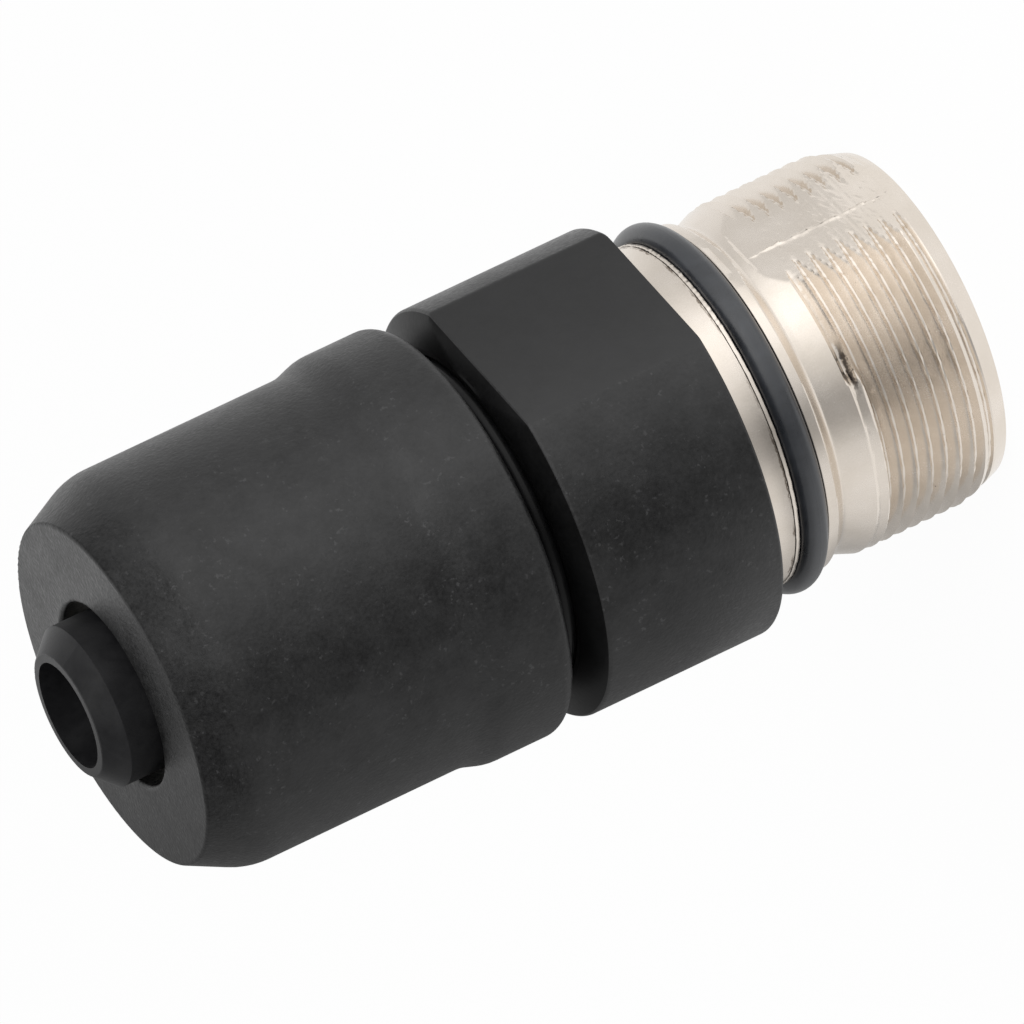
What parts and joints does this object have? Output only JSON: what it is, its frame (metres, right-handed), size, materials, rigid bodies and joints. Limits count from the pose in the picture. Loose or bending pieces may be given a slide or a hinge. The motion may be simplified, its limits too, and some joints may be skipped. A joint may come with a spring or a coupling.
{
  "type": "circular sensor connector",
  "caption": "Circular M23 sensor connector with a threaded plated mouth, pin insert, black sleeve with spanner flats, and a cable gland whose union nut unscrews.",
  "frame": {"origin": "centre of the threaded mouth's end face, on which the connector stands", "axes": "+Z along the connector's axis from the threaded mouth to the cable entry; the two spanner flats and the two parting flats of the thread face +X and -X"},
  "size_m": [0.0268, 0.0268, 0.059],
  "materials": {
    "nickel_plate": "die-cast zinc, satin nickel plate",
    "shield_nickel": "turned brass, bright nickel plate",
    "sleeve_plastic": "black glass-filled polyamide, spark-eroded texture, smooth flats",
    "nut_plastic": "black glass-filled polyamide, fine matt texture",
    "basket_plastic": "black moulded polyamide",
    "washer_plastic": "natural acetal",
    "insert_plastic": "dark grey moulded polyester",
    "seal_rubber": "dark blue-grey fluorocarbon rubber, smooth",
    "cable_seal_rubber": "black nitrile rubber, smooth",
    "contact_gold": "turned brass, gold flash"
  },
  "bodies": {
    "housing": {"threaded_shell": "nickel_plate", "thread_o_ring": "seal_rubber", "body_sleeve": "sleeve_plastic", "gland_o_ring": "seal_rubber", "pin_insert": "insert_plastic", "contact_holder": "insert_plastic", "spacer_half_a": "insert_plastic", "spacer_half_b": "insert_plastic", "shield_ring": "shield_nickel", "contact_01": "contact_gold", "contact_02": "contact_gold", "contact_03": "contact_gold", "contact_04": "contact_gold", "contact_05": "contact_gold", "contact_06": "contact_gold", "contact_07": "contact_gold", "contact_08": "contact_gold", "contact_09": "contact_gold", "contact_10": "contact_gold", "contact_11": "contact_gold", "contact_12": "contact_gold"},
    "gland_stack": {"clamp_basket": "basket_plastic", "cable_seal": "cable_seal_rubber", "thrust_washer": "washer_plastic"},
    "union_nut": {"union_nut": "nut_plastic"}
  },
  "joints": [
    {"name": "gland_slide", "type": "slide", "parent": "housing", "child": "gland_stack", "axis": [0, 0, 1], "range_m": [0, 0.01201]},
    {"name": "nut_turn", "type": "hinge", "parent": "gland_stack", "child": "union_nut", "pos_m": [0, 0, 0.03158], "axis": [0, 0, 1], "range_deg": [0, 2880]}
  ],
  "couplings": [
    {"joint": "gland_slide", "follows": "nut_turn", "m_per_rad": 0.00023873}
  ]
}
